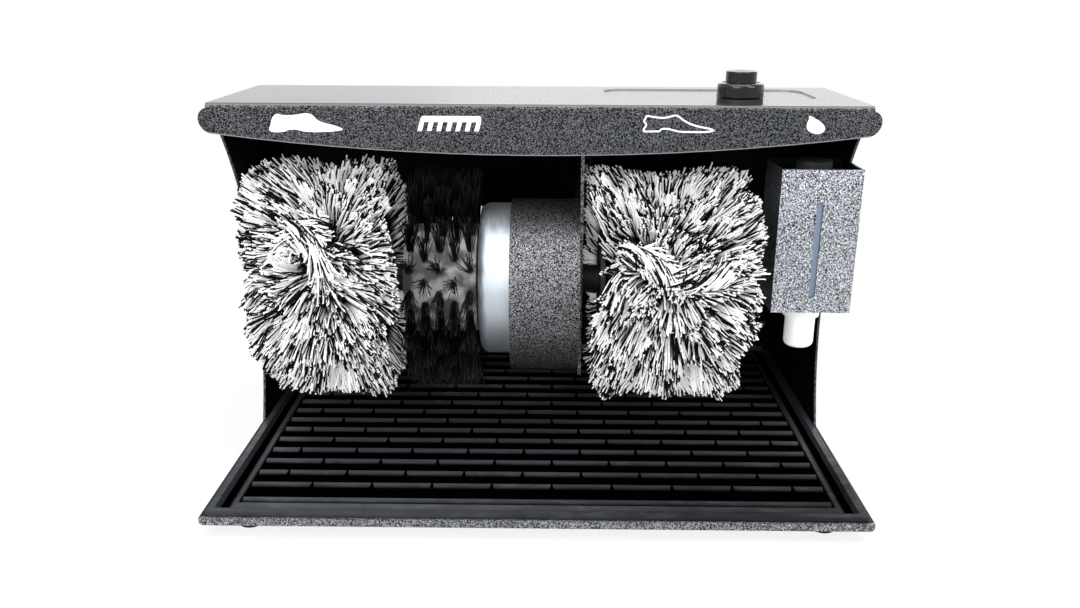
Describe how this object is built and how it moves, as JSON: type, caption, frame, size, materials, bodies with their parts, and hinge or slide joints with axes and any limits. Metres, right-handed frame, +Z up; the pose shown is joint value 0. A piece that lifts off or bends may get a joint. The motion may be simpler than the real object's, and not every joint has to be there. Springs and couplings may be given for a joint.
{
  "type": "electric shoe shine machine",
  "caption": "Table-top shoe polisher with two cotton brushes and a bristle brush on one motor shaft, a cream dispenser, a push switch and a rubber mat.",
  "frame": {"origin": "on the floor, under the middle of the machine's bounding box", "axes": "+X to the right of someone who faces the machine, +Y away from them, +Z up"},
  "size_m": [0.41, 0.3096, 0.2657],
  "materials": {
    "hood_paint": "charcoal hammertone enamel",
    "panel_paint": "charcoal hammertone enamel outside, black inside",
    "black_paint": "black enamel, satin",
    "dispenser_paint": "light grey hammertone enamel",
    "cowl_paint": "charcoal hammertone enamel",
    "mat_rubber": "black moulded rubber, slight sheen",
    "foot_rubber": "black rubber",
    "plated_steel": "zinc plated",
    "bright_steel": "ground steel",
    "motor_silver": "silver lacquered casting",
    "lamination": "stacked laminations",
    "copper_wire": "enamelled copper wire",
    "spring_steel": "spring steel",
    "cotton": "white cotton strands with black ones between",
    "brush_hub": "dark grey moulding",
    "bristle": "black nylon bristles",
    "black_gloss": "glossy black",
    "black_matte": "matt black",
    "white_plastic": "glossy white",
    "bottle_plastic": "pale blue, translucent",
    "grey_plastic": "grey moulding",
    "board_green": "green laminate"
  },
  "bodies": {
    "housing": {"base_tray": "black_paint", "rubber_feet": "foot_rubber", "foot_screws": "plated_steel", "rubber_mat": "mat_rubber", "left_side_panel": "panel_paint", "right_side_panel": "panel_paint", "top_hood": "hood_paint", "back_panel": "panel_paint", "panel_screws": "plated_steel", "m4_nuts": "plated_steel", "motor_bracket": "black_paint", "hood_studs": "plated_steel", "motor_end_bell": "motor_silver", "motor_end_plate": "motor_silver", "stator_core": "lamination", "stator_windings": "copper_wire", "motor_bolts": "plated_steel", "motor_plate_screws": "plated_steel", "bearing_outer_rings": "bright_steel", "motor_cowl": "cowl_paint", "cowl_screws": "plated_steel", "cowl_nuts": "plated_steel", "capacitor": "grey_plastic", "capacitor_nut": "plated_steel", "switch_gasket": "black_matte", "switch_housing": "black_gloss", "switch_nut": "black_matte", "switch_block": "black_matte", "switch_tabs": "plated_steel", "switch_spring": "spring_steel", "dispenser_housing": "dispenser_paint", "cream_bottle": "bottle_plastic", "bottle_top": "bottle_plastic", "filler_cap": "black_matte", "dispenser_collar": "white_plastic", "nozzle_spring": "spring_steel", "electrics_cover": "black_paint", "timer_board": "board_green", "board_spacers": "plated_steel", "board_components": "black_matte", "terminal_block": "grey_plastic", "board_screws": "plated_steel", "terminal_screws": "plated_steel", "mains_gland": "black_matte", "gland_nut": "black_matte"},
    "brush_shaft": {"motor_shaft": "bright_steel", "rotor_core": "lamination", "bearing_inner_rings": "bright_steel", "bearing_balls": "bright_steel", "shaft_washers": "plated_steel", "shaft_nuts": "plated_steel", "shaft_spacers": "bright_steel", "left_cotton_hub": "brush_hub", "right_cotton_hub": "brush_hub", "left_cotton_pile": "cotton", "right_cotton_pile": "cotton", "bristle_hub": "brush_hub", "bristle_tufts": "bristle"},
    "switch_button": {"switch_cap": "black_gloss"},
    "dispenser_plunger": {"dispenser_nozzle": "white_plastic"}
  },
  "joints": [
    {"name": "brush_spin", "type": "hinge", "parent": "housing", "child": "brush_shaft", "pos_m": [0, -0.03275, 0.1275], "axis": [1, 0, 0], "continuous": true},
    {"name": "switch_press", "type": "slide", "parent": "housing", "child": "switch_button", "axis": [0, 0, -1], "range_m": [0, 0.003], "stiffness_N_per_m": 400, "springref_m": -0.004, "deforming": ["switch_spring"]},
    {"name": "nozzle_press", "type": "slide", "parent": "housing", "child": "dispenser_plunger", "axis": [0, 0, 1], "range_m": [0, 0.0036], "stiffness_N_per_m": 400, "springref_m": -0.004, "deforming": ["nozzle_spring"]}
  ]
}
